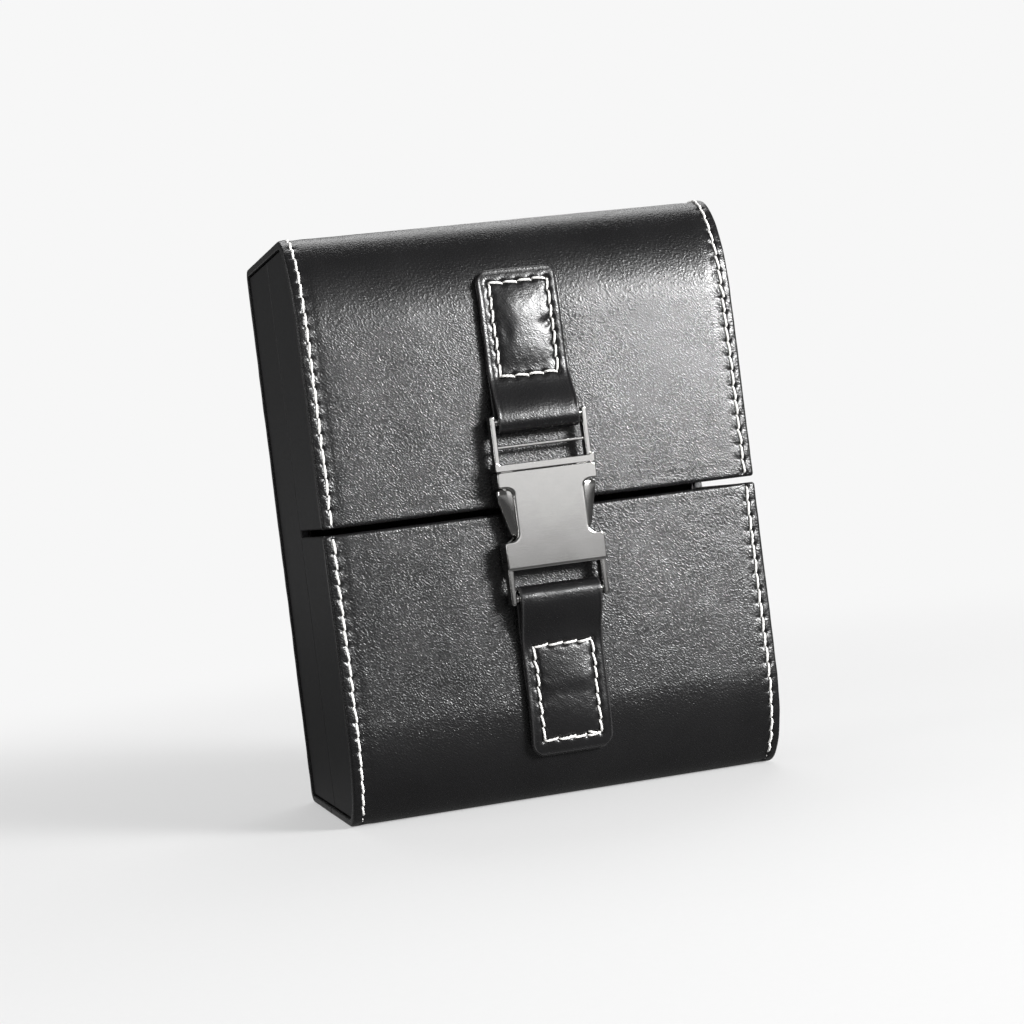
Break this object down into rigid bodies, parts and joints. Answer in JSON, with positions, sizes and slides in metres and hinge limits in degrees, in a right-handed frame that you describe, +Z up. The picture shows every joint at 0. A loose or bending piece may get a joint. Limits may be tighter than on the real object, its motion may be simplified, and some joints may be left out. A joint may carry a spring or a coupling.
{
  "type": "travel case",
  "caption": "Small hard leather travel case: rear tray and two front doors hinged on the leather at a seam, closed by a strap with a side-release buckle.",
  "frame": {"origin": "under the middle of the whole object, buckle included, at the level of the base", "axes": "+Z up, front with the buckle towards -Y, X across the doors"},
  "size_m": [0.1294, 0.0968, 0.17],
  "materials": {
    "leather": "black pebble-grained leather, semi-gloss",
    "end_leather": "smooth dark grey-black leather, satin",
    "strap_leather": "smoother black leather, semi-gloss, painted edge",
    "thread": "thick off-white waxed thread",
    "strap_thread": "thick off-white waxed thread",
    "board": "thin plywood, raw at the edges",
    "lining": "dark flocked cloth",
    "buckle_metal": "polished nickel plate"
  },
  "bodies": {
    "rear_tray": {"rear_leather_skin": "leather", "left_rear_stitching": "thread", "right_rear_stitching": "thread", "left_rear_end_panel": "end_leather", "right_rear_end_panel": "end_leather", "rear_top_board": "board", "rear_bottom_board": "board", "back_board": "board", "rear_tray_lining": "lining", "top_hinge_leather": "leather", "bottom_hinge_leather": "leather"},
    "upper_door": {"upper_leather_skin": "leather", "left_upper_stitching": "thread", "right_upper_stitching": "thread", "left_upper_end_panel": "end_leather", "right_upper_end_panel": "end_leather", "upper_door_board": "board", "upper_door_lining": "lining", "upper_strap": "strap_leather", "upper_strap_stitching": "strap_thread"},
    "lower_door": {"lower_leather_skin": "leather", "left_lower_stitching": "thread", "right_lower_stitching": "thread", "left_lower_end_panel": "end_leather", "right_lower_end_panel": "end_leather", "lower_door_board": "board", "lower_door_lining": "lining", "lower_strap": "strap_leather", "lower_strap_stitching": "strap_thread"},
    "buckle_male": {"buckle_male_frame": "buckle_metal"},
    "buckle_female": {"buckle_female_body": "buckle_metal"},
    "left_prong_arm": {"left_prong": "buckle_metal"},
    "right_prong_arm": {"right_prong": "buckle_metal"}
  },
  "joints": [
    {"name": "upper_door_hinge", "type": "hinge", "parent": "rear_tray", "child": "upper_door", "pos_m": [0, 0.0064, 0.17], "axis": [-1, 0, 0], "range_deg": [0, 170], "deforming": ["top_hinge_leather"]},
    {"name": "lower_door_hinge", "type": "hinge", "parent": "rear_tray", "child": "lower_door", "pos_m": [0, 0.0064, 0], "axis": [1, 0, 0], "range_deg": [0, 170], "deforming": ["bottom_hinge_leather"]},
    {"name": "buckle_male_swing", "type": "hinge", "parent": "upper_door", "child": "buckle_male", "pos_m": [0, -0.0446, 0.1104], "axis": [-1, 0, 0], "range_deg": [0, 120]},
    {"name": "buckle_female_swing", "type": "hinge", "parent": "lower_door", "child": "buckle_female", "pos_m": [0, -0.0446, 0.0599], "axis": [1, 0, 0], "range_deg": [0, 120]},
    {"name": "left_prong_squeeze", "type": "slide", "parent": "buckle_male", "child": "left_prong_arm", "axis": [1, 0, 0], "range_m": [0, 0.002], "stiffness_N_per_m": 400, "springref_m": -0.02, "deforming": ["left_prong"]},
    {"name": "right_prong_squeeze", "type": "slide", "parent": "buckle_male", "child": "right_prong_arm", "axis": [-1, 0, 0], "range_m": [0, 0.002], "stiffness_N_per_m": 400, "springref_m": -0.02, "deforming": ["right_prong"]}
  ],
  "couplings": [
    {"joint": "right_prong_squeeze", "follows": "left_prong_squeeze", "ratio": 1}
  ]
}
